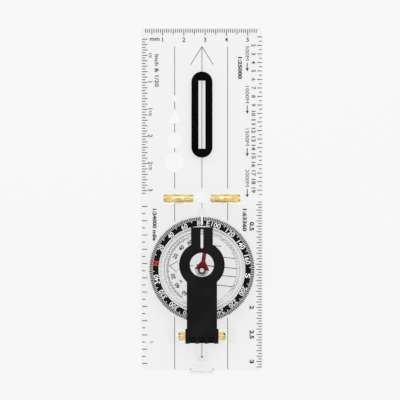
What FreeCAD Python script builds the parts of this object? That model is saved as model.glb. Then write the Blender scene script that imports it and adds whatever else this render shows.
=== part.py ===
"""Folding sighting compass with two clear leaves, a turning dial and a black sight arm.

Millimetres.  X runs across the leaves, Y along them from the dial end to the cover end, and Z up.
The compass lies open and flat.  The origin is on the resting surface, under the middle of the
whole length.
"""
import FreeCAD, Part
import math
import os
import Sketcher

Vector = FreeCAD.Vector

# ---------------------------------------------------------------- driving dimensions
DIMENSIONS = {
    # the two leaves
    "leaf_width": 57.0,
    "leaf_thickness": 2.5,
    "leaf_corner": 1.8,
    "leaf_gap": 0.3,
    "base_reach": 80.55,
    "cover_setback": 0.6,
    # leaf hinge
    "closed_gap": 0.7,
    "knuckle_radius": 2.3,
    "knuckle_gap": 0.15,
    "hinge_pin_radius": 1.25,
    "hinge_pin_start": 4.0,
    "hinge_pin_end": 18.0,
    "base_knuckle_start": 8.1,
    "base_knuckle_end": 12.9,
    "keeper_half_width": 2.4,
    "notch_clearance": 0.5,
    "running_clearance": 0.05,
    # sight frame in the cover
    "frame_half_width": 4.95,
    "frame_start": 19.2,
    "frame_end": 59.6,
    "window_half_width": 1.6,
    "window_margin": 4.2,
    "wire_radius": 0.2,
    "wire_bedding": 1.5,
    # pencil holes in the cover
    "stencil_x": 12.85,
    "dot_radius": 1.25,
    "dot_distance": 47.0,
    "triangle_half_base": 3.6,
    "triangle_foot": 35.4,
    "triangle_tip": 41.8,
    "small_ring_radius": 3.4,
    "small_ring_distance": 27.3,
    "large_ring_radius": 4.5,
    "large_ring_distance": 17.0,
    # dial and capsule
    "dial_radius": 25.4,
    "dial_lift": 0.15,
    "dial_height": 4.95,
    "dial_bevel": 0.8,
    "flute_radius": 0.5,
    "flute_bite": 0.28,
    "flute_count": 90,
    "tick_land": 2.4,
    "band_width": 2.8,
    "band_thickness": 0.6,
    "band_gap": 0.1,
    "flange_thickness": 1.2,
    "boss_step": 2.0,
    "vial_wall": 0.9,
    "vial_floor": 0.95,
    "cover_wall_height": 2.75,
    "cover_height": 5.15,
    "cover_bevel": 2.8,
    "cover_roof": 1.1,
    "seal_inset": 0.5,
    "seal_width": 1.0,
    "seal_depth": 0.7,
    "retainer_land": 2.4,
    "retainer_catch": 1.7,
    "retainer_thickness": 0.8,
    "retainer_foot": 0.15,
    "retainer_gap": 0.1,
    "scale_disc_thickness": 0.3,
    "scale_disc_gap": 0.3,
    # needle
    "pivot_radius": 0.8,
    "pivot_bedding": 0.5,
    "pivot_shaft_radius": 0.45,
    "pivot_shaft_height": 2.6,
    "pivot_tip_height": 3.9,
    "needle_gap": 1.7,
    "needle_point_length": 1.5,
    "needle_shoulder": 3.6,
    "needle_wing_heel": 0.5,
    "needle_stem_half_width": 0.75,
    "needle_wing_half_width": 2.7,
    "needle_thickness": 0.3,
    "needle_height": 3.1,
    "needle_heading": -8.5,
    "hub_radius": 1.5,
    "hub_height": 1.9,
    "hub_bevel": 0.3,
    "jewel_radius": 0.9,
    "jewel_cup_radius": 0.7,
    # fixed index over the dial
    "index_post_half_width": 2.0,
    "index_post_depth": 2.4,
    "index_dial_gap": 0.7,
    "index_hinge_gap": 2.35,
    "index_finger_half_width": 1.6,
    "index_finger_thickness": 1.2,
    "index_finger_lift": 0.35,
    "index_finger_overhang": 5.3,
    "index_line_half_width": 0.3,
    "index_line_depth": 0.25,
    # sight arm
    "arm_pin_gap": 5.8,
    "arm_pin_drop": 1.3,
    "arm_pin_radius": 1.25,
    "arm_pin_half_length": 11.1,
    "arm_lift": 0.4,
    "arm_thickness": 2.2,
    "arm_tip_gap": 1.0,
    "arm_ring_offset": 2.25,
    "arm_ring_radius": 10.65,
    "arm_tongue_half_width": 5.1,
    "arm_body_half_width": 7.05,
    "arm_barrel_half_width": 7.75,
    "arm_barrel_radius": 3.5,
    "arm_flare_start": 3.75,
    "arm_flare_end": 2.45,
    "arm_edge_round": 0.35,
    "sight_slot_half_width": 0.6,
    "sight_slot_inset": 1.6,
    "sight_slot_seat_gap": 1.85,
    "lens_window_radius": 5.6,
    "lens_radius": 6.4,
    "lens_ledge": 0.7,
    "lens_edge": 0.8,
    "lens_crown": 1.1,
    "lens_ring_slope": 0.35,
    "barrel_slot_spacing": 4.4,
    "barrel_slot_half_width": 1.3,
    "barrel_slot_wall": 0.75,
    "barrel_slot_start": 0.3,
    "barrel_slot_drop": 1.25,
    # brackets that carry the arm pin
    "bracket_gap": 0.15,
    "bracket_ear_thickness": 3.8,
    "bracket_ear_radius": 3.5,
    "bracket_foot_end": 16.0,
    "bracket_foot_thickness": 1.3,
    # sliding catch at the end of the base
    "catch_half_width": 5.75,
    "catch_overhang": 1.2,
    "catch_wall": 0.9,
    "catch_lip": 0.6,
    "catch_lip_thickness": 0.9,
    "catch_head_depth": 4.5,
    "catch_plate_thickness": 1.3,
    "catch_tongue_half_width": 1.7,
    "catch_tongue_length": 4.0,
    "catch_gusset_height": 6.0,
    "catch_gusset_thickness": 0.9,
    "catch_travel": 0.8,
    "catch_clearance": 0.1,
    "guide_gap": 0.3,
    "guide_half_width": 3.1,
    "guide_depth": 4.1,
    "guide_roof": 1.0,
    "stop_pin_radius": 0.5,
    "closed_clearance": 0.3,
}

document = FreeCAD.newDocument("SightingCompass")
sheet = document.addObject("Spreadsheet::Sheet", "Sizes")
for row, (alias, number) in enumerate(DIMENSIONS.items(), start=1):
    sheet.set("A%d" % row, alias)
    sheet.set("B%d" % row, str(number))
    sheet.setAlias("B%d" % row, alias)
document.recompute()


class Size:
    """A number together with the sheet expression that gives it."""

    def __init__(self, number, text):
        self.number = number
        self.text = text

    def __add__(self, other):
        return Size(self.number + number_of(other), "(%s + %s)" % (self.text, text_of(other)))

    def __sub__(self, other):
        return Size(self.number - number_of(other), "(%s - %s)" % (self.text, text_of(other)))

    def __mul__(self, factor):
        return Size(self.number * number_of(factor), "(%s * %s)" % (self.text, text_of(factor)))

    def __truediv__(self, other):
        return Size(self.number / number_of(other), "(%s / %s)" % (self.text, text_of(other)))

    def __neg__(self):
        return Size(-self.number, "(0 - %s)" % self.text)


def number_of(value):
    """The plain number of a size or of a number."""
    return value.number if isinstance(value, Size) else float(value)


def text_of(value):
    """The expression of a size or of a number."""
    return value.text if isinstance(value, Size) else repr(float(value))


def size(alias):
    """One cell of the sheet."""
    return Size(DIMENSIONS[alias], "Sizes." + alias)


def bind(item, path, value):
    """Ties one property of an object to the sheet."""
    item.setExpression(path, text_of(value))


# ---------------------------------------------------------------- sketches and features
AXES = {"XY": "XY_Plane", "XZ": "XZ_Plane", "YZ": "YZ_Plane"}


def new_body(name, centre_y=None):
    """An empty body with its own label, moved along Y where it is a turned piece."""
    body = document.addObject("PartDesign::Body", name)
    body.Label = name
    if centre_y is not None:
        bind(body, "Placement.Base.y", centre_y)
    return body


def origin_feature(body, role):
    """One of the body's own origin planes or axes."""
    return next(item for item in body.Origin.OriginFeatures if item.Role == role)


def new_sketch(body, name, plane, offset=0.0):
    """A sketch on one of the body's origin planes, lifted off it by the offset."""
    sketch = body.newObject("Sketcher::SketchObject", name)
    sketch.AttachmentSupport = [(origin_feature(body, AXES[plane]), "")]
    sketch.MapMode = "FlatFace"
    bind(sketch, "AttachmentOffset.Base.z", offset)
    return sketch


def hold_point(sketch, curve, point, x, y):
    """Fixes a point of a sketch at two distances from the sketch's origin."""
    for kind, distance in (("DistanceX", x), ("DistanceY", y)):
        place = Sketcher.Constraint(kind, -1, 1, curve, point, number_of(distance))
        index = sketch.addConstraint(place)
        sketch.setExpression("Constraints[%d]" % index, text_of(distance))


def polygon(sketch, points):
    """A closed outline of straight sides through the points."""
    first = sketch.GeometryCount
    count = len(points)
    corners = [Vector(number_of(x), number_of(y), 0) for x, y in points]
    for side in range(count):
        sketch.addGeometry(Part.LineSegment(corners[side], corners[(side + 1) % count]))
    for side in range(count):
        following = first + (side + 1) % count
        sketch.addConstraint(Sketcher.Constraint("Coincident", first + side, 2, following, 1))
    for side, (x, y) in enumerate(points):
        hold_point(sketch, first + side, 1, x, y)


def rectangle(sketch, left, right, low, high):
    """A rectangle between two values of each sketch axis."""
    polygon(sketch, [(left, low), (right, low), (right, high), (left, high)])


def circle(sketch, x, y, radius):
    """A circle held by its centre and its radius."""
    disc = Part.Circle(Vector(number_of(x), number_of(y), 0), Vector(0, 0, 1), number_of(radius))
    index = sketch.addGeometry(disc)
    hold_point(sketch, index, 3, x, y)
    held = sketch.addConstraint(Sketcher.Constraint("Radius", index, number_of(radius)))
    sketch.setExpression("Constraints[%d]" % held, text_of(radius))


def finish_feature(body, feature, sketch):
    """Recomputes a feature and makes it the last one of its body."""
    sketch.Visibility = False
    body.Tip = feature
    document.recompute()
    return feature


def pad(body, sketch, length):
    """Adds material along the sketch's normal."""
    feature = body.newObject("PartDesign::Pad", sketch.Name + "_pad")
    feature.Profile = sketch
    bind(feature, "Length", length)
    return finish_feature(body, feature, sketch)


def pocket(body, sketch, depth):
    """Cuts along the sketch's normal, and proves that something was cut."""
    before = body.Shape.Volume
    feature = body.newObject("PartDesign::Pocket", sketch.Name + "_pocket")
    feature.Profile = sketch
    feature.Reversed = True
    bind(feature, "Length", depth)
    finish_feature(body, feature, sketch)
    if not body.Shape.Volume < before:
        raise RuntimeError("%s cuts nothing" % feature.Name)
    return feature


def revolve(body, sketch):
    """Turns a half section about the body's Z axis."""
    feature = body.newObject("PartDesign::Revolution", sketch.Name + "_turned")
    feature.Profile = sketch
    feature.ReferenceAxis = (sketch, ["V_Axis"])
    feature.Angle = 360
    return finish_feature(body, feature, sketch)


def turned(name, centre_y, points):
    """A body turned from one closed half section of radius and height."""
    body = new_body(name, centre_y)
    section = new_sketch(body, name + "_section", "XZ")
    polygon(section, points)
    revolve(body, section)
    return body


def round_edges(body, name, radius, chosen):
    """Rounds every edge of the body that the test picks."""
    last = body.Tip
    names = ["Edge%d" % (i + 1) for i, edge in enumerate(last.Shape.Edges) if chosen(edge)]
    feature = body.newObject("PartDesign::Fillet", name)
    feature.Base = (last, names)
    bind(feature, "Radius", radius)
    body.Tip = feature
    document.recompute()
    return feature


def is_upright(edge):
    """True for a straight edge along Z."""
    low, high = edge.BoundBox.ZMin, edge.BoundBox.ZMax
    return abs(edge.Length - (high - low)) < 1e-6


# ---------------------------------------------------------------- places that pieces share
half_width = size("leaf_width") / 2
thickness = size("leaf_thickness")
pin_bore = size("hinge_pin_radius") + size("running_clearance")

# heights, from the resting surface up
retainer_top = size("retainer_foot") + size("retainer_thickness")
vial_bottom = retainer_top + size("vial_floor")
dial_foot = thickness + size("dial_lift")
flange_top = dial_foot + size("flange_thickness")
dial_top = dial_foot + size("dial_height")
capsule_top = flange_top + size("cover_height")
arm_underside = capsule_top + size("arm_lift")
arm_top = arm_underside + size("arm_thickness")
arm_pin_z = arm_underside - size("arm_pin_drop")
lens_shoulder = arm_underside + size("lens_ledge") + size("lens_edge")
lens_top = lens_shoulder + size("lens_crown")
hinge_z = (thickness + lens_top + size("closed_gap")) / 2

# radii of the dial, from its edge inwards
band_outer = size("dial_radius") - size("tick_land")
capsule_radius = band_outer - size("band_width")
boss_radius = capsule_radius - size("boss_step")
vial_radius = boss_radius - size("vial_wall")
seal_inner = vial_radius + size("seal_inset")
retainer_radius = boss_radius + size("retainer_catch")

# places along the leaves, from the hinge line to the two ends
hinge_y = (size("catch_overhang") + size("cover_setback")) / 2
base_end = hinge_y - size("base_reach")
cover_end = hinge_y + size("base_reach") - size("cover_setback")
index_front = hinge_y - size("knuckle_radius") - size("index_hinge_gap")
index_back = index_front - size("index_post_depth")
index_end = index_back - size("index_finger_overhang")
dial_y = index_back - size("index_dial_gap") - size("dial_radius")
tip_y = index_end - size("arm_tip_gap")
ring_y = dial_y + size("arm_ring_offset")
arm_pin_y = dial_y - size("dial_radius") - size("arm_pin_gap")


def add_knuckle(body, name, start, end, web_back, web_front):
    """One hinge knuckle: a web standing on the leaf with a round eye on top."""
    length = end - start
    web = new_sketch(body, name + "_web", "YZ", start)
    rectangle(web, hinge_y + web_back, hinge_y + web_front, 0.0, hinge_z)
    pad(body, web, length)
    eye = new_sketch(body, name + "_eye", "YZ", start)
    circle(eye, hinge_y, hinge_z, size("knuckle_radius"))
    pad(body, eye, length)


def bore_knuckle(body, name, start, end, radius):
    """The pin's hole through one knuckle."""
    bore = new_sketch(body, name + "_bore", "YZ", start - size("knuckle_gap"))
    circle(bore, hinge_y, hinge_z, radius)
    pocket(body, bore, end - start + size("knuckle_gap") * 2)


def sides(start, end):
    """The two mirrored stretches of X, left and right, with a word for each."""
    return (("left", -end, -start), ("right", start, end))


# ---------------------------------------------------------------- base leaf
def lower_plate():
    """Clear base leaf with the dial's well, two hinge knuckles and no print."""
    body = new_body("lower_plate")
    outline = new_sketch(body, "base_outline", "XY")
    rectangle(outline, -half_width, half_width, base_end, hinge_y - size("leaf_gap") / 2)
    pad(body, outline, thickness)
    end_line = number_of(base_end)
    round_edges(
        body,
        "base_corners",
        size("leaf_corner"),
        lambda edge: is_upright(edge) and abs(edge.BoundBox.YMin - end_line) < 0.01,
    )
    reach = size("knuckle_radius")
    stretches = sides(size("base_knuckle_start"), size("base_knuckle_end"))
    for side, start, end in stretches:
        add_knuckle(body, "base_knuckle_" + side, start, end, -reach, reach)
        bore_knuckle(body, "base_knuckle_" + side, start, end, size("hinge_pin_radius"))
    well = new_sketch(body, "dial_well", "XY")
    circle(well, 0.0, dial_y, boss_radius + size("running_clearance"))
    pocket(body, well, thickness)
    recess = new_sketch(body, "retainer_recess", "XY")
    circle(recess, 0.0, dial_y, retainer_radius + size("retainer_gap"))
    pocket(body, recess, retainer_top + size("dial_lift"))
    return body


def hinge_pins():
    """Two brass rods, tight in the base's knuckles and free in the cover's."""
    made = []
    for side, start, end in sides(size("hinge_pin_start"), size("hinge_pin_end")):
        body = new_body("hinge_pin_" + side)
        section = new_sketch(body, "hinge_pin_%s_section" % side, "YZ", start)
        circle(section, hinge_y, hinge_z, size("hinge_pin_radius"))
        pad(body, section, end - start)
        made.append(body)
    return made


def pin_keeper():
    """Clear block between the two pins that stops them from working inwards."""
    body = new_body("pin_keeper")
    half = size("keeper_half_width")
    reach = size("knuckle_radius")
    web = new_sketch(body, "pin_keeper_web", "YZ", -half)
    foot_back = hinge_y - size("leaf_gap") / 2
    rectangle(web, foot_back, hinge_y + reach, 0.0, hinge_z)
    pad(body, web, half * 2)
    step = new_sketch(body, "pin_keeper_step", "YZ", -half)
    rectangle(step, hinge_y - reach, foot_back, thickness, hinge_z)
    pad(body, step, half * 2)
    eye = new_sketch(body, "pin_keeper_eye", "YZ", -half)
    circle(eye, hinge_y, hinge_z, reach)
    pad(body, eye, half * 2)
    return body


# ---------------------------------------------------------------- cover leaf
def upper_plate():
    """Clear cover leaf with four knuckles, the sight aperture and the pencil holes."""
    body = new_body("upper_plate")
    outline = new_sketch(body, "cover_outline", "XY")
    rectangle(outline, -half_width, half_width, hinge_y + size("leaf_gap") / 2, cover_end)
    pad(body, outline, thickness)
    end_line = number_of(cover_end)
    round_edges(
        body,
        "cover_corners",
        size("leaf_corner"),
        lambda edge: is_upright(edge) and abs(edge.BoundBox.YMax - end_line) < 0.01,
    )
    cut_hinge_notches(body)
    gap = size("knuckle_gap")
    inner = sides(size("hinge_pin_start"), size("base_knuckle_start") - gap)
    outer = sides(size("base_knuckle_end") + gap, size("hinge_pin_end"))
    for row, stretches in (("inner", inner), ("outer", outer)):
        for side, start, end in stretches:
            name = "cover_%s_%s" % (row, side)
            add_knuckle(body, name, start, end, size("leaf_gap") / 2, size("knuckle_radius"))
            bore_knuckle(body, name, start, end, pin_bore)
    cut_sight_aperture(body)
    cut_pencil_holes(body)
    return body


def cut_hinge_notches(body):
    """Room in the cover's edge for the base's knuckles and for the pin keeper."""
    room = size("knuckle_gap")
    back = hinge_y - size("leaf_gap")
    front = hinge_y + size("knuckle_radius") + size("notch_clearance")
    half = size("keeper_half_width") + room
    spans = [("middle", -half, half)]
    spans += sides(size("base_knuckle_start") - room, size("base_knuckle_end") + room)
    for name, start, end in spans:
        notch = new_sketch(body, "notch_" + name, "XY")
        rectangle(notch, start, end, back, front)
        pocket(body, notch, thickness)


def stadium_pocket(body, name, half, low, high, depth):
    """A straight slot along Y with round ends, cut as its middle and its two ends."""
    middle = new_sketch(body, name + "_middle", "XY")
    rectangle(middle, -half, half, low + half, high - half)
    pocket(body, middle, depth)
    for end, centre in (("low", low + half), ("high", high - half)):
        cap = new_sketch(body, name + "_" + end, "XY")
        circle(cap, 0.0, centre, half)
        pocket(body, cap, depth)


def stadium_pad(body, name, half, low, high, height):
    """A straight bar along Y with round ends."""
    middle = new_sketch(body, name + "_middle", "XY")
    rectangle(middle, -half, half, low + half, high - half)
    pad(body, middle, height)
    for end, centre in (("low", low + half), ("high", high - half)):
        cap = new_sketch(body, name + "_" + end, "XY")
        circle(cap, 0.0, centre, half)
        pad(body, cap, height)


def cut_sight_aperture(body):
    """The long hole that the black sight frame is bonded into."""
    low = hinge_y + size("frame_start")
    high = hinge_y + size("frame_end")
    stadium_pocket(body, "aperture", size("frame_half_width"), low, high, thickness)


def cut_pencil_holes(body):
    """Round holes and a triangle for marking points on a map."""
    x = -size("stencil_x")
    for name in ("dot", "small_ring", "large_ring"):
        hole = new_sketch(body, name + "_hole", "XY")
        circle(hole, x, hinge_y + size(name + "_distance"), size(name + "_radius"))
        pocket(body, hole, thickness)
    triangle = new_sketch(body, "triangle_hole", "XY")
    foot = hinge_y + size("triangle_foot")
    half = size("triangle_half_base")
    polygon(triangle, [(x - half, foot), (x + half, foot), (x, hinge_y + size("triangle_tip"))])
    pocket(body, triangle, thickness)


def sight_frame():
    """Black insert with the long sighting window."""
    body = new_body("sight_frame")
    low = hinge_y + size("frame_start")
    high = hinge_y + size("frame_end")
    stadium_pad(body, "frame", size("frame_half_width"), low, high, thickness)
    margin = size("window_margin")
    window = new_sketch(body, "window", "XY")
    half = size("window_half_width")
    rectangle(window, -half, half, low + margin, high - margin)
    pocket(body, window, thickness)
    bed = new_sketch(body, "wire_bed", "XZ", -(high - margin + size("wire_bedding")))
    circle(bed, 0.0, thickness / 2, size("wire_radius"))
    pocket(body, bed, high - low - margin * 2 + size("wire_bedding") * 2)
    return body


def sight_wire():
    """Fine upright wire in the middle of the window, bedded in the frame at both ends."""
    body = new_body("sight_wire")
    low = hinge_y + size("frame_start") + size("window_margin") - size("wire_bedding")
    high = hinge_y + size("frame_end") - size("window_margin") + size("wire_bedding")
    section = new_sketch(body, "wire_section", "XZ", -high)
    circle(section, 0.0, thickness / 2, size("wire_radius"))
    pad(body, section, high - low)
    return body


# ---------------------------------------------------------------- dial and capsule
def dial_rim():
    """Clear turning ring with a step for the number band and a fluted edge."""
    step = dial_top - size("band_thickness")
    body = turned(
        "dial_rim",
        dial_y,
        [
            (capsule_radius, dial_foot),
            (size("dial_radius"), dial_foot),
            (size("dial_radius"), dial_top - size("dial_bevel")),
            (size("dial_radius") - size("dial_bevel"), dial_top),
            (band_outer, dial_top),
            (band_outer, step),
            (capsule_radius, step),
        ],
    )
    flute = new_sketch(body, "flute", "XY")
    centre = size("dial_radius") + size("flute_radius") - size("flute_bite")
    circle(flute, centre, 0.0, size("flute_radius"))
    first = pocket(body, flute, dial_top)
    pattern = body.newObject("PartDesign::PolarPattern", "flutes")
    pattern.Originals = [first]
    pattern.Axis = (origin_feature(body, "Z_Axis"), [""])
    pattern.Angle = 360
    bind(pattern, "Occurrences", size("flute_count"))
    finish_feature(body, pattern, flute)
    return body


def number_band():
    """Black degree ring lying in the rim's step."""
    inner = capsule_radius + size("band_gap")
    low = dial_top - size("band_thickness")
    return turned(
        "number_band",
        dial_y,
        [(inner, low), (band_outer, low), (band_outer, dial_top), (inner, dial_top)],
    )


def capsule_base():
    """Clear cup: a flange inside the rim and a boss that turns in the plate's well."""
    seal_low = flange_top - size("seal_depth")
    seal_out = seal_inner + size("seal_width")
    body = turned(
        "capsule_base",
        dial_y,
        [
            (0.0, retainer_top),
            (boss_radius, retainer_top),
            (boss_radius, dial_foot),
            (capsule_radius, dial_foot),
            (capsule_radius, flange_top),
            (seal_out, flange_top),
            (seal_out, seal_low),
            (seal_inner, seal_low),
            (seal_inner, flange_top),
            (vial_radius, flange_top),
            (vial_radius, vial_bottom),
            (0.0, vial_bottom),
        ],
    )
    socket = new_sketch(body, "pivot_socket", "XY", vial_bottom - size("pivot_bedding"))
    circle(socket, 0.0, 0.0, size("pivot_radius"))
    pocket(body, socket, size("pivot_bedding"))
    return body


def capsule_seal():
    """Soft ring in the groove under the capsule's cover."""
    inner = seal_inner
    outer = inner + size("seal_width")
    low = flange_top - size("seal_depth")
    return turned(
        "capsule_seal",
        dial_y,
        [(inner, low), (outer, low), (outer, flange_top), (inner, flange_top)],
    )


def capsule_cover():
    """Clear lid with a bevelled shoulder and a flat window."""
    flat_radius = capsule_radius - size("cover_bevel")
    shoulder = flange_top + size("cover_wall_height")
    ceiling = capsule_top - size("cover_roof")
    wall = capsule_radius - size("running_clearance")
    return turned(
        "capsule_cover",
        dial_y,
        [
            (vial_radius, flange_top),
            (wall, flange_top),
            (wall, shoulder),
            (flat_radius, capsule_top),
            (0.0, capsule_top),
            (0.0, ceiling),
            (flat_radius - size("cover_roof"), ceiling),
            (vial_radius, shoulder),
        ],
    )


def scale_disc():
    """Thin clear disc on the vial's floor that carries the inner scale."""
    outer = vial_radius - size("scale_disc_gap")
    inner = size("pivot_radius") + size("scale_disc_gap")
    top = vial_bottom + size("scale_disc_thickness")
    return turned(
        "scale_disc",
        dial_y,
        [(inner, vial_bottom), (outer, vial_bottom), (outer, top), (inner, top)],
    )


def dial_retainer():
    """Clear ring bonded under the boss that traps the dial in the plate."""
    foot = size("retainer_foot")
    inner = boss_radius - size("retainer_land")
    outer = retainer_radius
    return turned(
        "dial_retainer",
        dial_y,
        [(inner, foot), (outer, foot), (outer, retainer_top), (inner, retainer_top)],
    )


def pivot_pin():
    """Steel needle point standing in the middle of the vial's floor."""
    foot = vial_bottom - size("pivot_bedding")
    collar = vial_bottom + size("scale_disc_thickness")
    return turned(
        "pivot_pin",
        dial_y,
        [
            (0.0, foot),
            (size("pivot_radius"), foot),
            (size("pivot_radius"), collar),
            (size("pivot_shaft_radius"), collar),
            (size("pivot_shaft_radius"), vial_bottom + size("pivot_shaft_height")),
            (0.0, vial_bottom + size("pivot_tip_height")),
        ],
    )


# ---------------------------------------------------------------- needle
def turn_to_heading(body):
    """Turns a needle piece about the dial's axis to where the needle points at rest."""
    bind(body, "Placement.Rotation.Angle", size("needle_heading"))
    body.setExpression("Placement.Rotation.Axis.x", "0")
    body.setExpression("Placement.Rotation.Axis.y", "0")
    body.setExpression("Placement.Rotation.Axis.z", "1")


def needle_blade():
    """Thin steel blade: two narrow stems that flare into wings beside the hub."""
    body = new_body("needle_blade", dial_y)
    body.Placement.Rotation = FreeCAD.Rotation(Vector(0, 0, 1), DIMENSIONS["needle_heading"])
    outline = new_sketch(body, "blade_outline", "XY", vial_bottom + size("needle_height"))
    stem = size("needle_stem_half_width")
    wing = size("needle_wing_half_width")
    reach = vial_radius - size("needle_gap")
    quarter = [
        (stem, reach - size("needle_point_length")),
        (stem, size("needle_shoulder")),
        (wing, size("needle_wing_heel")),
    ]
    right = [(0.0, reach)] + quarter
    right += [(x, -y) for x, y in reversed(quarter)]
    left = [(0.0, -reach)] + [(-x, -y) for x, y in quarter]
    left += [(-x, y) for x, y in reversed(quarter)]
    polygon(outline, right + left)
    pad(body, outline, size("needle_thickness"))
    hole = new_sketch(body, "blade_hole", "XY", vial_bottom + size("needle_height"))
    circle(hole, 0.0, 0.0, size("jewel_radius"))
    pocket(body, hole, size("needle_thickness"))
    return body


def needle_hub():
    """Black collar standing on the blade round the jewel."""
    low = vial_bottom + size("needle_height") + size("needle_thickness")
    top = low + size("hub_height") - size("needle_thickness")
    inner = size("jewel_radius")
    outer = size("hub_radius")
    return turned(
        "needle_hub",
        dial_y,
        [
            (inner, low),
            (outer, low),
            (outer, top - size("hub_bevel")),
            (outer - size("hub_bevel"), top),
            (inner, top),
        ],
    )


def needle_jewel():
    """Hard cup that rides on the pivot's point and closes the hub's top."""
    low = vial_bottom + size("needle_height") - size("needle_thickness")
    top = vial_bottom + size("needle_height") + size("hub_height")
    roof = vial_bottom + size("pivot_tip_height") + size("running_clearance")
    outer = size("jewel_radius")
    return turned(
        "needle_jewel",
        dial_y,
        [
            (size("jewel_cup_radius"), low),
            (outer, low),
            (outer, top),
            (0.0, top),
            (0.0, roof),
        ],
    )


# ---------------------------------------------------------------- index over the dial
index_low = dial_top + size("index_finger_lift")
index_high = index_low + size("index_finger_thickness")


def index_pointer():
    """Clear post on the base with a finger that reaches over the number band."""
    body = new_body("index_pointer")
    post = new_sketch(body, "index_post", "XY", thickness)
    half = size("index_post_half_width")
    rectangle(post, -half, half, index_back, index_front)
    pad(body, post, index_high - thickness)
    finger = new_sketch(body, "index_finger", "XY", index_low)
    finger_half = size("index_finger_half_width")
    rectangle(finger, -finger_half, finger_half, index_end, index_front)
    pad(body, finger, size("index_finger_thickness"))
    groove = new_sketch(body, "index_groove", "XY", index_high - size("index_line_depth"))
    line = size("index_line_half_width")
    rectangle(groove, -line, line, index_end, index_back)
    pocket(body, groove, size("index_line_depth"))
    return body


def index_line():
    """White filling of the finger's groove, against which the band is read."""
    body = new_body("index_line")
    line = size("index_line_half_width")
    fill = new_sketch(body, "index_fill", "XY", index_high - size("index_line_depth"))
    rectangle(fill, -line, line, index_end, index_back)
    pad(body, fill, size("index_line_depth"))
    return body


# ---------------------------------------------------------------- sight arm
def sight_arm():
    """Black moulded arm: slotted tongue, lens ring, strap and slotted hinge barrel."""
    body = new_body("sight_arm")
    underside = arm_underside
    height = size("arm_thickness")
    strap = new_sketch(body, "arm_strap", "XY", underside)
    narrow = size("arm_body_half_width")
    wide = size("arm_barrel_half_width")
    flare_start = arm_pin_y + size("arm_flare_start")
    flare_end = arm_pin_y + size("arm_flare_end")
    right = [(wide, arm_pin_y), (wide, flare_end), (narrow, flare_start), (narrow, ring_y)]
    left = [(-x, y) for x, y in reversed(right)]
    polygon(strap, right + left)
    pad(body, strap, height)
    ring = new_sketch(body, "arm_ring", "XY", underside)
    circle(ring, 0.0, ring_y, size("arm_ring_radius"))
    pad(body, ring, height)
    tongue = new_sketch(body, "arm_tongue", "XY", underside)
    half = size("arm_tongue_half_width")
    rectangle(tongue, -half, half, ring_y, tip_y)
    pad(body, tongue, height)
    top = number_of(arm_top)
    round_edges(
        body,
        "arm_top_round",
        size("arm_edge_round"),
        lambda edge: edge.BoundBox.ZMin > top - 0.01 and is_outer_arm_edge(edge),
    )
    barrel = new_sketch(body, "arm_barrel", "YZ", -wide)
    circle(barrel, arm_pin_y, arm_pin_z, size("arm_barrel_radius"))
    pad(body, barrel, wide * 2)
    cut_arm_openings(body)
    cut_barrel_slots(body)
    return body


def is_outer_arm_edge(edge):
    """True except for the edge that the barrel is going to swallow."""
    return edge.BoundBox.YMax > number_of(arm_pin_y) + 0.01


def cut_arm_openings(body):
    """The lens seat with its ledge, the sighting slot and the pin's bore."""
    window = new_sketch(body, "lens_window", "XY", arm_underside)
    circle(window, 0.0, ring_y, size("lens_window_radius"))
    pocket(body, window, size("arm_thickness"))
    seat = new_sketch(body, "lens_seat", "XY", arm_underside + size("lens_ledge"))
    circle(seat, 0.0, ring_y, size("lens_radius"))
    pocket(body, seat, size("arm_thickness") - size("lens_ledge"))
    half = size("sight_slot_half_width")
    far = tip_y - size("sight_slot_inset")
    near = ring_y + size("lens_radius") + size("sight_slot_seat_gap")
    slot = new_sketch(body, "sight_slot", "XY", arm_underside)
    rectangle(slot, -half, half, near, far)
    pocket(body, slot, size("arm_thickness"))
    for name, end in (("near", near), ("far", far)):
        cap = new_sketch(body, "sight_slot_" + name, "XY", arm_underside)
        circle(cap, 0.0, end, half)
        pocket(body, cap, size("arm_thickness"))
    wide = size("arm_barrel_half_width")
    bore = new_sketch(body, "arm_bore", "YZ", -wide)
    bore_radius = size("arm_pin_radius") + size("running_clearance")
    circle(bore, arm_pin_y, arm_pin_z, bore_radius)
    pocket(body, bore, wide * 2)


def cut_barrel_slots(body):
    """Three coring slots round the outer top of the barrel, clear of the bore."""
    wall = size("arm_pin_radius") + size("running_clearance") + size("barrel_slot_wall")
    outside = size("arm_barrel_radius") + size("barrel_slot_wall")
    low = arm_pin_z - size("barrel_slot_drop")
    half = size("barrel_slot_half_width")
    spacing = size("barrel_slot_spacing")
    start = arm_pin_y - size("barrel_slot_start")
    for index in (-1, 0, 1):
        cut = new_sketch(body, "barrel_slot_%d" % (index + 2), "YZ", spacing * index - half)
        polygon(
            cut,
            [
                (start, arm_pin_z + wall),
                (arm_pin_y - wall, arm_pin_z + wall),
                (arm_pin_y - wall, low),
                (arm_pin_y - outside, low),
                (arm_pin_y - outside, arm_pin_z + outside),
                (start, arm_pin_z + outside),
            ],
        )
        pocket(body, cut, half * 2)


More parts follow.
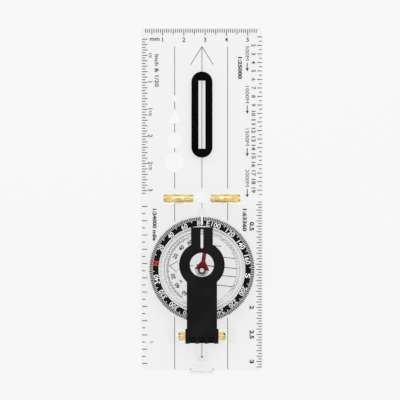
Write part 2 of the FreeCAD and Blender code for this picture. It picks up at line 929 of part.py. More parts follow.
def sight_lens():
    """Plano-convex reading lens lying on the ring's ledge."""
    low = arm_underside + size("lens_ledge")
    body = new_body("sight_lens", ring_y)
    section = new_sketch(body, "lens_section", "XZ")
    edge = number_of(size("lens_window_radius"))
    crown = number_of(size("lens_crown"))
    radius = number_of(size("lens_radius"))
    base, shoulder = number_of(low), number_of(lens_shoulder)
    sphere = (edge * edge + crown * crown) / (2 * crown)
    middle = Vector(0, shoulder + crown - sphere, 0)
    half_angle = math.asin(edge / sphere)
    arc = Part.ArcOfCircle(
        Part.Circle(middle, Vector(0, 0, 1), sphere), math.pi / 2 - half_angle, math.pi / 2
    )
    corners = [
        Vector(0, shoulder + crown, 0),
        Vector(0, base, 0),
        Vector(radius, base, 0),
        Vector(radius, shoulder, 0),
        Vector(edge, shoulder, 0),
    ]
    for start, end in zip(corners, corners[1:]):
        section.addGeometry(Part.LineSegment(start, end))
    section.addGeometry(arc)
    for side in range(3):
        section.addConstraint(Sketcher.Constraint("Coincident", side, 2, side + 1, 1))
    section.addConstraint(Sketcher.Constraint("Coincident", 3, 2, 4, 1))
    section.addConstraint(Sketcher.Constraint("Coincident", 4, 2, 0, 1))
    hold_point(section, 0, 2, 0.0, low)
    hold_point(section, 1, 2, size("lens_radius"), low)
    hold_point(section, 2, 2, size("lens_radius"), lens_shoulder)
    hold_point(section, 3, 2, size("lens_window_radius"), lens_shoulder)
    hold_point(section, 0, 1, 0.0, lens_top)
    section.addConstraint(Sketcher.Constraint("PointOnObject", 4, 3, -2))
    revolve(body, section)
    return body


def lens_ring():
    """Black ring pressed over the lens's edge, flush with the arm."""
    inner = size("lens_window_radius") + size("running_clearance")
    outer = size("lens_radius")
    slope = size("lens_ring_slope")
    return turned(
        "lens_ring",
        ring_y,
        [(inner, lens_shoulder), (outer, lens_shoulder), (outer, arm_top), (inner + slope, arm_top)],
    )


def arm_pin():
    """Brass rod through both brackets and the arm's barrel."""
    body = new_body("arm_pin")
    half = size("arm_pin_half_length")
    section = new_sketch(body, "arm_pin_section", "YZ", -half)
    circle(section, arm_pin_y, arm_pin_z, size("arm_pin_radius"))
    pad(body, section, half * 2)
    return body


def arm_brackets():
    """Two clear ears with a foot, bonded to the base on both sides of the barrel."""
    made = []
    inner = size("arm_barrel_half_width") + size("bracket_gap")
    outer = inner + size("bracket_ear_thickness")
    reach = size("bracket_ear_radius")
    for side, start, end in sides(inner, outer):
        body = new_body("arm_bracket_" + side)
        web = new_sketch(body, "ear_web_" + side, "YZ", start)
        rectangle(web, arm_pin_y - reach, arm_pin_y + reach, thickness, arm_pin_z)
        pad(body, web, end - start)
        crown = new_sketch(body, "ear_crown_" + side, "YZ", start)
        circle(crown, arm_pin_y, arm_pin_z, reach)
        pad(body, crown, end - start)
        foot = new_sketch(body, "ear_foot_" + side, "XY", thickness)
        toe = size("bracket_foot_end")
        left, right = (-toe, start) if side == "left" else (end, toe)
        rectangle(foot, left, right, arm_pin_y - reach, arm_pin_y + reach)
        pad(body, foot, size("bracket_foot_thickness"))
        bore = new_sketch(body, "ear_bore_" + side, "YZ", start)
        circle(bore, arm_pin_y, arm_pin_z, size("arm_pin_radius"))
        pocket(body, bore, end - start)
        made.append(body)
    return made


# ---------------------------------------------------------------- catch at the base's end
catch_out = base_end - size("catch_overhang")
catch_wall_in = catch_out + size("catch_wall")
catch_foot = thickness + size("catch_clearance")
catch_plate_top = catch_foot + size("catch_plate_thickness")
closed_top = hinge_z * 2
catch_head_in = catch_out + size("catch_head_depth")
guide_out = catch_head_in + size("catch_travel") + size("guide_gap")
guide_in = guide_out + size("guide_depth")
stop_y = guide_out + size("guide_depth") / 2


def catch_slider():
    """Clear catch: a foot that slides on the base, a wall and a lip for the closed cover."""
    body = new_body("catch_slider")
    half = size("catch_half_width")
    foot = new_sketch(body, "catch_foot", "XY", catch_foot)
    rectangle(foot, -half, half, catch_out, catch_head_in)
    pad(body, foot, size("catch_plate_thickness"))
    tongue = new_sketch(body, "catch_tongue", "XY", catch_foot)
    narrow = size("catch_tongue_half_width")
    tongue_end = catch_head_in + size("catch_tongue_length")
    rectangle(tongue, -narrow, narrow, catch_head_in, tongue_end)
    pad(body, tongue, size("catch_plate_thickness"))
    lip_low = closed_top + size("closed_clearance")
    lip_top = lip_low + size("catch_lip_thickness")
    wall = new_sketch(body, "catch_wall", "YZ", -half)
    polygon(
        wall,
        [
            (catch_out, catch_foot),
            (catch_wall_in, catch_foot),
            (catch_wall_in, lip_low),
            (catch_wall_in + size("catch_lip"), lip_low),
            (catch_wall_in + size("catch_lip"), lip_top),
            (catch_out, lip_top),
        ],
    )
    pad(body, wall, half * 2)
    gusset_half = size("catch_gusset_thickness")
    for side, start in (("left", -half), ("right", half - gusset_half)):
        gusset = new_sketch(body, "catch_gusset_" + side, "YZ", start)
        rise = catch_plate_top + size("catch_gusset_height")
        polygon(
            gusset,
            [(catch_out, catch_foot), (catch_head_in, catch_foot),
             (catch_head_in, catch_plate_top), (catch_wall_in, rise), (catch_out, rise)],
        )
        pad(body, gusset, gusset_half)
    slot = new_sketch(body, "catch_slot", "XY", catch_foot)
    room = size("stop_pin_radius") + size("catch_clearance")
    rectangle(slot, -room, room, stop_y - room - size("catch_travel"), stop_y + room)
    pocket(body, slot, size("catch_plate_thickness"))
    return body


def catch_guide():
    """Clear bridge bonded to the base that the catch's tongue slides under."""
    body = new_body("catch_guide")
    half = size("guide_half_width")
    height = size("catch_plate_thickness") + size("catch_clearance") * 2
    block = new_sketch(body, "guide_block", "XY", thickness)
    rectangle(block, -half, half, guide_out, guide_in)
    pad(body, block, height + size("guide_roof"))
    channel = new_sketch(body, "guide_channel", "XY", thickness)
    narrow = size("catch_tongue_half_width") + size("catch_clearance")
    rectangle(channel, -narrow, narrow, guide_out, guide_in)
    pocket(body, channel, height)
    bore = new_sketch(body, "guide_bore", "XY", thickness)
    circle(bore, 0.0, stop_y, size("stop_pin_radius"))
    pocket(body, bore, height + size("guide_roof"))
    return body


def catch_stop_pin():
    """Small pin through the bridge and the tongue's slot that limits the travel."""
    body = new_body("catch_stop_pin")
    section = new_sketch(body, "stop_pin_section", "XY", thickness)
    circle(section, 0.0, stop_y, size("stop_pin_radius"))
    height = size("catch_plate_thickness") + size("catch_clearance") * 2 + size("guide_roof")
    pad(body, section, height)
    return body


# ---------------------------------------------------------------- building and writing
def check(bodies):
    """Stops if any object failed or any sub-part is not one valid closed shape."""
    for item in document.Objects:
        if "Invalid" in item.State or "Error" in item.State:
            raise RuntimeError("%s failed: %s" % (item.Name, item.State))
    for body in bodies:
        if body.Shape.isNull() or not body.Shape.isValid():
            raise RuntimeError("%s has no valid shape" % body.Label)
        if len(body.Shape.Solids) != 1:
            raise RuntimeError("%s has %d solids" % (body.Label, len(body.Shape.Solids)))


def build():
    """Makes every sub-part and returns them as a list."""
    bodies = [lower_plate(), pin_keeper(), upper_plate(), sight_frame(), sight_wire()]
    bodies += hinge_pins()
    bodies += [dial_rim(), number_band(), capsule_base(), capsule_seal(), capsule_cover()]
    bodies += [scale_disc(), dial_retainer(), pivot_pin()]
    bodies += [needle_blade(), needle_hub(), needle_jewel()]
    bodies += [index_pointer(), index_line()]
    bodies += [sight_arm(), sight_lens(), lens_ring(), arm_pin()]
    bodies += arm_brackets()
    bodies += [catch_slider(), catch_guide(), catch_stop_pin()]
    return bodies


parts = build()
document.recompute()
check(parts)
os.makedirs("parts", exist_ok=True)
for part in parts:
    part.Shape.exportStep(os.path.join("parts", part.Label + ".step"))
    box = part.Shape.BoundBox
    print("%-20s %8.1f mm3  x %6.2f %6.2f  y %7.2f %7.2f  z %5.2f %5.2f" % (
        part.Label, part.Shape.Volume, box.XMin, box.XMax, box.YMin, box.YMax, box.ZMin, box.ZMax))
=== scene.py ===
"""A folding sighting compass: two clear acrylic leaves on a brass pin hinge, a turning
dial with a needle capsule, a black sighting arm with a lens, and a sliding catch."""

import math
import bmesh
import bpy
from mathutils import Matrix, Vector


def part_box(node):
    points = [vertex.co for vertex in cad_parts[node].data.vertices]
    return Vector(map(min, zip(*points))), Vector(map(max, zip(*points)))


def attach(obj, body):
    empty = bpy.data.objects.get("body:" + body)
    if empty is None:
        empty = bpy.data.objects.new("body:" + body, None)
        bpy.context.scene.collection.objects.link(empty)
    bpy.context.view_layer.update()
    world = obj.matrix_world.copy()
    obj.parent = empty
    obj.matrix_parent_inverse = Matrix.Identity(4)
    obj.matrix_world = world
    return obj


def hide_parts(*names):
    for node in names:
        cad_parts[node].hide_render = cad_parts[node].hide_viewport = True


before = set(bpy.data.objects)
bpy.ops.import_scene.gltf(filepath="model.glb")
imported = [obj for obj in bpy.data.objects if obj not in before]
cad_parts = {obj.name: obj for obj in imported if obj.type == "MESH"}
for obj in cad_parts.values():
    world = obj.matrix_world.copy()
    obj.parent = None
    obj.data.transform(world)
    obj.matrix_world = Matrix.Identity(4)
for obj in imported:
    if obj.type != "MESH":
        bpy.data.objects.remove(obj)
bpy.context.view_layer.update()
MM = 0.001


# ---------------------------------------------------------------------------------------
# Base leaf. Sawn from 2.5 mm cast acrylic sheet, with its hinge knuckles, the pin keeper,
# the two arm brackets, the index pointer and the catch guide solvent-cemented on.

SHEET = 2.5
SAW_LINES = 0.4
FROSTING = 0.65
JOINT_LINE = 0.008


def from_srgb(code):
    """An sRGB hex colour, such as "#c8a24a", as a linear colour with alpha."""
    channels = [int(code[i:i + 2], 16) / 255 for i in (1, 3, 5)]
    return [c / 12.92 if c <= 0.04045 else ((c + 0.055) / 1.055) ** 2.4 for c in channels] + [1.0]


def add_node(tree, kind, inputs=None, **settings):
    """Adds a shader node. An input is a plain value, or another node's output to link."""
    made = tree.nodes.new("ShaderNode" + kind)
    for name, value in settings.items():
        setattr(made, name, value)
    for name, value in (inputs or {}).items():
        if isinstance(value, bpy.types.NodeSocket):
            tree.links.new(value, made.inputs[name])
        else:
            made.inputs[name].default_value = value
    return made


def new_finish(name):
    """An empty material and its node tree."""
    finish = bpy.data.materials.new(name)
    finish.use_nodes = True
    finish.node_tree.nodes.clear()
    return finish, finish.node_tree


def sawn_edge(tree, place, clear, sheet_mm):
    """Covers the upright cut edges of a sheet, sheet_mm thick, with the saw's fine frosting.
    It stays a little see-through and fades out on faces that lean. What is cemented on top
    of the sheet stays clear."""
    facing = add_node(tree, "SeparateXYZ", {0: place.outputs["Normal"]})
    spot = add_node(tree, "SeparateXYZ", {0: place.outputs["Object"]})
    level = add_node(tree, "Math", {0: facing.outputs["Z"]}, operation="ABSOLUTE")
    upright = add_node(tree, "MapRange", {
        "Value": level.outputs[0], "From Min": 0.1, "From Max": 0.4,
        "To Min": FROSTING, "To Max": 0.0})
    within = add_node(tree, "Math", {
        0: spot.outputs["Z"], 1: (sheet_mm + 0.1) * MM}, operation="LESS_THAN")
    cut = add_node(tree, "Math", {0: upright.outputs[0], 1: within.outputs[0]}, operation="MULTIPLY")
    saw_lines = add_node(tree, "TexNoise", {
        "Vector": place.outputs["Object"], "Scale": 1 / (SAW_LINES * MM), "Detail": 2.0})
    frost_shade = add_node(tree, "Mix", {
        "Factor": saw_lines.outputs[0], "A": from_srgb("#dfe2e2"), "B": from_srgb("#f4f6f6")},
        data_type="RGBA")
    frosted = add_node(tree, "BsdfPrincipled", {
        "Base Color": frost_shade.outputs["Result"], "Roughness": 0.6, "IOR": 1.49})
    return add_node(tree, "MixShader", {
        0: cut.outputs[0], 1: clear.outputs[0], 2: frosted.outputs[0]})


def clear_plastic(name, tint, ior, haze, cloud_mm, sheet_mm=None, glint=1.0):
    """Clear plastic. Handling leaves it hazier in soft clouds cloud_mm across, haze being the
    roughness from clean to most handled. Sheet that was cut has frosted edges. glint is how
    much its faces mirror: less where they meet oil or cement, matched to the object."""
    finish, tree = new_finish(name)
    place = add_node(tree, "TexCoord")
    clouds = add_node(tree, "TexNoise", {
        "Vector": place.outputs["Object"], "Scale": 1 / (cloud_mm * MM), "Detail": 3.0})
    handled = add_node(tree, "MapRange", {
        "Value": clouds.outputs[0], "From Min": 0.4, "From Max": 0.7,
        "To Min": haze[0], "To Max": haze[1]})
    plastic = add_node(tree, "BsdfPrincipled", {
        "Base Color": from_srgb(tint), "IOR": ior, "Transmission Weight": 1.0,
        "Roughness": handled.outputs[0], "Specular Tint": (glint, glint, glint, 1)})
    skin = sawn_edge(tree, place, plastic, sheet_mm) if sheet_mm else plastic
    add_node(tree, "OutputMaterial", {"Surface": skin.outputs[0]})
    return finish


def coat(finish, *nodes):
    """Gives CAD nodes one finish over their whole surface."""
    for name in nodes:
        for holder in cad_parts[name].material_slots:
            holder.material = finish


def coat_clear(finish, *nodes):
    """Coats clear pieces and draws their skin in by a hair, so that where two of them are
    cemented or clipped together each keeps a face of its own. Light for what lies under them
    passes straight through, as it nearly does through thin clear sheet."""
    coat(finish, *nodes)
    for name in nodes:
        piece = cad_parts[name]
        piece.visible_shadow = False
        piece.visible_diffuse = False
        skin = piece.modifiers.new("joint_line", "DISPLACE")
        skin.mid_level = 0.0
        skin.strength = -JOINT_LINE * MM


# Cast acrylic is the clearest of the plastics: index 1.49, polished faces, and a grey cast
# that only shows through the thickness.
cast_acrylic = clear_plastic(
    "cast_acrylic", "#fefefe", 1.49, (0.0, 0.02), 14, sheet_mm=SHEET, glint=0.6)
coat_clear(cast_acrylic, "lower_plate", "pin_keeper", "arm_bracket_left", "arm_bracket_right",
           "index_pointer", "catch_guide")


# ---------------------------------------------------------------------------------------
# Scales under the base leaf. Screen-printed in black ink on the side that lies on the map,
# so that they touch it: two map scales along the edges and three direction lines.

INK_FILM = 0.03
INK_HEIGHT = 0.06
INK_SPREAD = 0.018
TICK_WIDTH = 0.36
LINE_WIDTH = 0.26
EDGE_MARGIN = 0.35
LINE_GAP = 0.2
LINE_START = -1.2
WELD = 0.0005
LABEL_BOLD = 0.04
READ_DOWN = -math.pi / 2
BEZEL_GAP = 0.4
MILE = 1609344.0
BASE_ZERO = 0.55
DIRECTION_LINES = (-12.8, 0.0, 12.1)


def box_mm(name):
    """The lowest and highest corners of a CAD node, in millimetres."""
    low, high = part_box(name)
    return Vector(low) / MM, Vector(high) / MM


def stroke(ink, start, end, width, height=INK_HEIGHT):
    """A printed bar from start to end, both (x, y) in millimetres."""
    start, end = Vector(start), Vector(end)
    along = end - start
    middle = (start + end) / 2
    place = Matrix.Translation((middle.x, middle.y, height))
    turn = Matrix.Rotation(math.atan2(along.y, along.x), 4, "Z")
    size = Matrix.Diagonal((along.length, width, INK_FILM, 1))
    bmesh.ops.create_cube(ink, size=1.0, matrix=place @ turn @ size)


def lettering(ink, words, middle, tall, turn=0.0, span=None, height=INK_HEIGHT, bold=INK_SPREAD):
    """Printed figures centred on middle. tall is the height of a capital and span the length
    of the line, both in millimetres. turn is in radians, anticlockwise, and bold is how much
    each letter is thickened before it is scaled."""
    font = bpy.data.curves.new("figures", "FONT")
    font.body = words
    font.resolution_u = 3
    font.offset = bold
    font.extrude = 0.5
    holder = bpy.data.objects.new("figures", font)
    mesh = bpy.data.meshes.new_from_object(holder)
    low = Vector([min(v.co[i] for v in mesh.vertices) for i in range(3)])
    high = Vector([max(v.co[i] for v in mesh.vertices) for i in range(3)])
    scale = tall / (high.y - low.y)
    stretch = span / (high.x - low.x) if span else scale
    place = Matrix.Translation((middle[0], middle[1], height)) @ Matrix.Rotation(turn, 4, "Z")
    size = Matrix.Diagonal((stretch, scale, INK_FILM, 1))
    mesh.transform(place @ size @ Matrix.Translation(-(low + high) / 2))
    ink.from_mesh(mesh)
    bpy.data.objects.remove(holder)
    bpy.data.curves.remove(font)
    bpy.data.meshes.remove(mesh)


def edge_scale(ink, edge, inward, zero, step, marks, odd, even):
    """Ticks along a long edge of a leaf, step millimetres apart down from zero. inward is 1
    or -1, and odd and even are how far the odd and the even ticks reach in."""
    start = edge + inward * EDGE_MARGIN
    for i in marks:
        y = zero - step * i
        stroke(ink, (start, y), (start + inward * (odd if i % 2 else even), y), TICK_WIDTH)


def printed(name, ink, finish, body):
    """Makes one piece of all that was printed in millimetres, riding on a body."""
    bmesh.ops.remove_doubles(ink, verts=ink.verts, dist=WELD)
    bmesh.ops.recalc_face_normals(ink, faces=ink.faces)
    mesh = bpy.data.meshes.new(name)
    ink.to_mesh(mesh)
    ink.free()
    mesh.transform(Matrix.Scale(MM, 4))
    mesh.materials.append(finish)
    piece = bpy.data.objects.new(name, mesh)
    bpy.context.collection.objects.link(piece)
    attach(piece, body)
    return piece


def matt_ink(name, colour, faded, patch_mm, roughness):
    """Screen ink: it lies a little thin in patches patch_mm across, where it looks faded."""
    finish, tree = new_finish(name)
    place = add_node(tree, "TexCoord")
    patches = add_node(tree, "TexNoise", {
        "Vector": place.outputs["Object"], "Scale": 1 / (patch_mm * MM), "Detail": 4.0})
    laid = add_node(tree, "MapRange", {"Value": patches.outputs[0], "From Min": 0.35, "From Max": 0.7})
    shade = add_node(tree, "Mix", {
        "Factor": laid.outputs[0], "A": from_srgb(colour), "B": from_srgb(faded)}, data_type="RGBA")
    film = add_node(tree, "BsdfPrincipled", {
        "Base Color": shade.outputs["Result"], "Roughness": roughness, "IOR": 1.5})
    add_node(tree, "OutputMaterial", {"Surface": film.outputs[0]})
    return finish


# Vinyl screen ink dries matt and dense, with thin patches where the mesh held it back.
black_ink = matt_ink("black_screen_ink", "#161618", "#303032", 0.8, 0.55)

base_low, base_high = box_mm("lower_plate")
rim_low, rim_high = box_mm("dial_rim")
dial_middle = (rim_low + rim_high) / 2
rim_radius = (rim_high.x - rim_low.x) / 2
keeper_foot = box_mm("pin_keeper")[0].y
pointer_head = box_mm("index_pointer")[1].y
arm_foot = box_mm("sight_arm")[0].y
catch_head = box_mm("catch_slider")[1].y

# Map scales in twentieths of a mile: 1:24000 down the left edge, 1:63360 down the right.
base_ink = bmesh.new()
left_step = MILE / 24000 / 20
right_mile = MILE / 63360
edge_scale(base_ink, base_low.x, 1, BASE_ZERO, left_step, range(1, 24), odd=2.5, even=1.6)
edge_scale(base_ink, base_high.x, -1, BASE_ZERO, right_mile / 20, range(1, 63), odd=1.6, even=2.5)
for words, miles, span in (("0.5", 0.5, 4.2), ("2", 2, 1.8), ("2.5", 2.5, 4.1), ("3", 3, 1.8)):
    lettering(base_ink, words, (base_high.x - 5.1, BASE_ZERO - right_mile * miles), 2.1,
              READ_DOWN, span=span, bold=LABEL_BOLD)
lettering(base_ink, "1", (base_low.x + 4.9, BASE_ZERO - left_step * 20), 1.7, READ_DOWN)
lettering(base_ink, "1:24000 mile", (base_low.x + 6.3, -11.4), 1.9, READ_DOWN, span=15.0,
          bold=LABEL_BOLD)
lettering(base_ink, "1:63360", (base_high.x - 8.4, -9.2), 2.0, READ_DOWN, span=10.6,
          bold=LABEL_BOLD)

# The outer direction lines stop at the dial, and the middle one at the pieces on its way.
for x in (DIRECTION_LINES[0], DIRECTION_LINES[2]):
    chord = math.sqrt(rim_radius ** 2 - x ** 2) + BEZEL_GAP
    stroke(base_ink, (x, LINE_START), (x, dial_middle.y + chord), LINE_WIDTH)
    stroke(base_ink, (x, dial_middle.y - chord), (x, base_low.y + 0.4), LINE_WIDTH)
middle_x = DIRECTION_LINES[1]
stroke(base_ink, (middle_x, keeper_foot - LINE_GAP), (middle_x, pointer_head + LINE_GAP), LINE_WIDTH)
stroke(base_ink, (middle_x, arm_foot + 1.0), (middle_x, catch_head - LINE_GAP), LINE_WIDTH)
printed("base_scales", base_ink, black_ink, "base")


# ---------------------------------------------------------------------------------------
# Hinge pins. Two short lengths of 2.5 mm brass rod, turned with a chamfer at each end and
# pressed into the base's knuckles from the middle; the keeper block stops them walking.

HINGE_PIN_FILM = 0.07
PIN_CHAMFER = 0.25
TARNISH = 3
WAVES = 20
ROUND_STEPS = 48


def lathe(name, profile, axis, middle):
    """Turns a profile of (place along the axis, radius) in millimetres about axis "X" or "Z"
    through middle, and closes its ends."""
    turned = bmesh.new()
    rings = []
    for along, radius in profile:
        ring = []
        for i in range(ROUND_STEPS):
            angle = 2 * math.pi * i / ROUND_STEPS
            across, up = radius * math.cos(angle), radius * math.sin(angle)
            point = (along, across, up) if axis == "X" else (across, up, along)
            ring.append(turned.verts.new(Vector(point) + Vector(middle)))
        rings.append(ring)
    for lower, upper in zip(rings, rings[1:]):
        for i in range(ROUND_STEPS):
            j = (i + 1) % ROUND_STEPS
            turned.faces.new((lower[i], lower[j], upper[j], upper[i]))
    turned.faces.new(rings[0])
    turned.faces.new(rings[-1])
    bmesh.ops.recalc_face_normals(turned, faces=turned.faces)
    mesh = bpy.data.meshes.new(name)
    turned.to_mesh(mesh)
    turned.free()
    mesh.transform(Matrix.Scale(MM, 4))
    for face in mesh.polygons:
        face.use_smooth = len(face.vertices) == 4
    return bpy.data.objects.new(name, mesh)


def turned_metal(name, colour, dull, roughness, groove_mm, axis):
    """Turned rod: fine rings from the tool, groove_mm apart, and duller patches of tarnish.
    At a scale of one the wave pattern repeats WAVES times in a length of tau."""
    finish, tree = new_finish(name)
    place = add_node(tree, "TexCoord")
    rings = add_node(tree, "TexWave", {
        "Vector": place.outputs["Object"], "Scale": math.tau / (WAVES * groove_mm * MM),
        "Distortion": 0.6, "Detail": 1.0}, bands_direction=axis)
    tarnish = add_node(tree, "TexNoise", {
        "Vector": place.outputs["Object"], "Scale": 1 / (TARNISH * MM), "Detail": 5.0})
    tarnished = add_node(tree, "MapRange", {
        "Value": tarnish.outputs[0], "From Min": 0.45, "From Max": 0.75})
    shade = add_node(tree, "Mix", {
        "Factor": tarnished.outputs[0], "A": from_srgb(colour), "B": from_srgb(dull)},
        data_type="RGBA")
    rough = add_node(tree, "MapRange", {
        "Value": tarnish.outputs[0], "From Min": 0.3, "From Max": 0.8,
        "To Min": roughness[0], "To Max": roughness[1]})
    bump = add_node(tree, "Bump", {
        "Height": rings.outputs["Fac"], "Strength": 0.1, "Distance": 0.01 * MM})
    metal = add_node(tree, "BsdfPrincipled", {
        "Base Color": shade.outputs["Result"], "Metallic": 1.0,
        "Roughness": rough.outputs[0], "Normal": bump.outputs[0]})
    add_node(tree, "OutputMaterial", {"Surface": metal.outputs[0]})
    return finish


# Free-cutting brass, turned and left bare: yellow, bright on the tool marks, browner where
# it has been handled.
turned_brass = turned_metal("turned_brass", "#fae29a", "#d9b25e", (0.05, 0.12), 0.12, "X")


def brass_pin(node, film):
    """A chamfered pin where a CAD pin is. film is the grease round it, which leaves no air
    between pin and bore, so that the clear knuckle magnifies it."""
    low, high = box_mm(node)
    radius = (high.z - low.z) / 2 + film
    half = (high.x - low.x) / 2
    pin = lathe("brass_" + node, (
        (-half, radius - PIN_CHAMFER), (PIN_CHAMFER - half, radius),
        (half - PIN_CHAMFER, radius), (half, radius - PIN_CHAMFER)), "X", (low + high) / 2)
    pin.data.materials.append(turned_brass)
    bpy.context.collection.objects.link(pin)
    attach(pin, "base")
    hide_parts(node)


brass_pin("hinge_pin_left", HINGE_PIN_FILM)
brass_pin("hinge_pin_right", HINGE_PIN_FILM)


# ---------------------------------------------------------------------------------------
# Cover leaf. The second acrylic leaf folds over the dial; a pencil fits its stencil holes.
# Rulers and a metre scale are screen-printed under it, with a long direction arrow.

coat_clear(cast_acrylic, "upper_plate")

COVER_START = 1.05
INCH = 25.4
HUNDRED_METRES = 4.0
TWO_DIGITS = 2.5
ARROW_TIP = 72.3
ARROW_BARB = (5.3, 8.5)
LINE_END = 5.6
PENCIL_HOLES = ((46.4, 49.4), (36.1, 42.9), (24.5, 31.9), (13.1, 22.7))

cover_low, cover_high = box_mm("upper_plate")
window_low, window_high = box_mm("sight_frame")
top = cover_high.y
cover_ink = bmesh.new()

# Centimetres and millimetres across the free end.
for i in range(2, 55):
    reach = 3.0 if i % 10 == 0 else 2.5 if i % 5 == 0 else 1.7
    x = cover_low.x + i
    stroke(cover_ink, (x, top - EDGE_MARGIN), (x, top - EDGE_MARGIN - reach), TICK_WIDTH)
for centimetre in range(1, 6):
    lettering(cover_ink, str(centimetre), (cover_low.x + 10 * centimetre, top - 5.3), 2.1)
lettering(cover_ink, "mm", (cover_low.x + 6.3, top - 5.2), 1.4, span=4.6)

# Inches in twentieths down the left edge, figured at every half.
edge_scale(cover_ink, cover_low.x, 1, top, INCH / 20, range(4, 62), odd=1.6, even=2.6)
inch_x = cover_low.x + 4.3
for halves in range(1, 7):
    y = top - INCH / 2 * halves
    whole = str(halves // 2) if halves > 1 else ""
    if whole:
        lettering(cover_ink, whole, (inch_x, y + 0.3), 2.0, READ_DOWN)
    if halves % 2:
        half_y = y - 1.9 if whole else y
        lettering(cover_ink, "1/2", (inch_x, half_y), 1.4, READ_DOWN, span=2.2)
lettering(cover_ink, "Inch & 1/20", (cover_low.x + 7.3, 61.0), 1.9, READ_DOWN, span=15.2)

# Metres at 1:25000 down the right edge, with an arrow at every half kilometre.
edge_scale(cover_ink, cover_high.x, -1, top, HUNDRED_METRES / 2, range(2, 40), odd=1.3, even=2.2)
for hundreds in range(2, 20):
    y = top - HUNDRED_METRES * hundreds
    lettering(cover_ink, str(hundreds), (cover_high.x - 4.25, y), 1.9, READ_DOWN,
              span=TWO_DIGITS if hundreds > 9 else None)
arrow_x = cover_high.x - 7.2
for half_kilometres in range(1, 5):
    tip = max(top - 5 * HUNDRED_METRES * half_kilometres, COVER_START + 0.6)
    words = "%dM" % (500 * half_kilometres)
    length = 6.8 if half_kilometres == 1 else 8.0
    lettering(cover_ink, words, (arrow_x, tip + 4.9 + length / 2), 1.7, READ_DOWN, span=length,
              bold=0.0)
    stroke(cover_ink, (arrow_x, tip + 3.8), (arrow_x, tip + 1.2), 0.4)
    place = Matrix.Translation((arrow_x, tip + 0.8, INK_HEIGHT))
    turned_head = place @ Matrix.Rotation(math.pi, 4, "Z")
    bmesh.ops.create_cone(cover_ink, cap_ends=True, segments=3, radius1=0.95, radius2=0.95,
                          depth=INK_FILM, matrix=turned_head)
lettering(cover_ink, "1:25000", (cover_high.x - 10.6, 62.2), 1.9, READ_DOWN, span=10.4,
          bold=LABEL_BOLD)

# Direction lines. The left one is broken at each pencil hole, and the middle one is an
# arrow, broken at the sighting window.
upper_end = ARROW_TIP
for low_end, high_end in PENCIL_HOLES:
    stroke(cover_ink, (DIRECTION_LINES[0], upper_end), (DIRECTION_LINES[0], high_end), LINE_WIDTH)
    upper_end = low_end
stroke(cover_ink, (DIRECTION_LINES[0], upper_end), (DIRECTION_LINES[0], LINE_END), LINE_WIDTH)
stroke(cover_ink, (DIRECTION_LINES[2], ARROW_TIP), (DIRECTION_LINES[2], LINE_END), LINE_WIDTH)
stroke(cover_ink, (middle_x, ARROW_TIP), (middle_x, window_high.y), LINE_WIDTH)
stroke(cover_ink, (middle_x, window_low.y), (middle_x, LINE_END), LINE_WIDTH)
for side in (-1, 1):
    barb = (middle_x + side * ARROW_BARB[0], ARROW_TIP - ARROW_BARB[1])
    stroke(cover_ink, (middle_x, ARROW_TIP), barb, LINE_WIDTH)
printed("cover_scales", cover_ink, black_ink, "cover")


# ---------------------------------------------------------------------------------------
# Sighting window. A black injection-moulded frame snapped into the cover, with a stainless
# wire stretched down the middle of its slot to line up on the far mark.

RUBBED_PATCH = 9


def moulded_plastic(name, colour, worn, roughness, grain_mm, depth_mm, level=0.5):
    """Moulded plastic with an even spark-eroded grain, and a lighter, smoother bloom where
    fingers rub it. grain_mm is the grain's spacing and depth_mm its height. level is how much
    it mirrors: low for the deep blacks."""
    finish, tree = new_finish(name)
    place = add_node(tree, "TexCoord")
    grain = add_node(tree, "TexNoise", {
        "Vector": place.outputs["Object"], "Scale": 1 / (grain_mm * MM), "Detail": 2.0})
    rubbed = add_node(tree, "TexNoise", {
        "Vector": place.outputs["Object"], "Scale": 1 / (RUBBED_PATCH * MM), "Detail": 3.0})
    bloom = add_node(tree, "MapRange", {
        "Value": rubbed.outputs[0], "From Min": 0.4, "From Max": 0.75})
    shade = add_node(tree, "Mix", {
        "Factor": bloom.outputs[0], "A": from_srgb(colour), "B": from_srgb(worn)},
        data_type="RGBA")
    rough = add_node(tree, "MapRange", {
        "Value": rubbed.outputs[0], "From Min": 0.3, "From Max": 0.75,
        "To Min": roughness[0], "To Max": roughness[1]})
    bump = add_node(tree, "Bump", {
        "Height": grain.outputs[0], "Strength": 0.3, "Distance": depth_mm * MM})
    plastic = add_node(tree, "BsdfPrincipled", {
        "Base Color": shade.outputs["Result"], "Roughness": rough.outputs[0], "IOR": 1.5,
        "Specular IOR Level": level, "Normal": bump.outputs[0]})
    add_node(tree, "OutputMaterial", {"Surface": plastic.outputs[0]})
    return finish


# Black acetal, moulded smooth: deep black with a low, even sheen.
black_acetal = moulded_plastic(
    "moulded_black_acetal", "#020202", "#060606", (0.35, 0.5), 0.3, 0.004, 0.03)
coat(black_acetal, "sight_frame")

# Drawn stainless wire, 0.4 mm: grey, with the die's fine lines along it.
drawn_wire = turned_metal("drawn_stainless_wire", "#b9bcc0", "#8d9094", (0.25, 0.4), 0.05, "X")
coat(drawn_wire, "sight_wire", "pivot_pin", "catch_stop_pin")


# ---------------------------------------------------------------------------------------
# Dial. A clear polycarbonate rim, fluted to turn by thumb, clipped round the capsule from
# below by a retaining ring. A black ring carries the figures, foil-stamped in white.

# Polycarbonate has a higher index than acrylic, 1.58, and a faint grey cast when moulded.
moulded_polycarbonate = clear_plastic(
    "moulded_polycarbonate", "#fdfefe", 1.58, (0.0, 0.03), 9, glint=0.6)
coat_clear(moulded_polycarbonate, "dial_rim", "dial_retainer")

# The figure ring is black styrene, matt so that the figures read against it.
black_styrene = moulded_plastic(
    "matt_black_styrene", "#080808", "#101010", (0.5, 0.65), 0.25, 0.004, 0.08)
coat(black_styrene, "number_band")

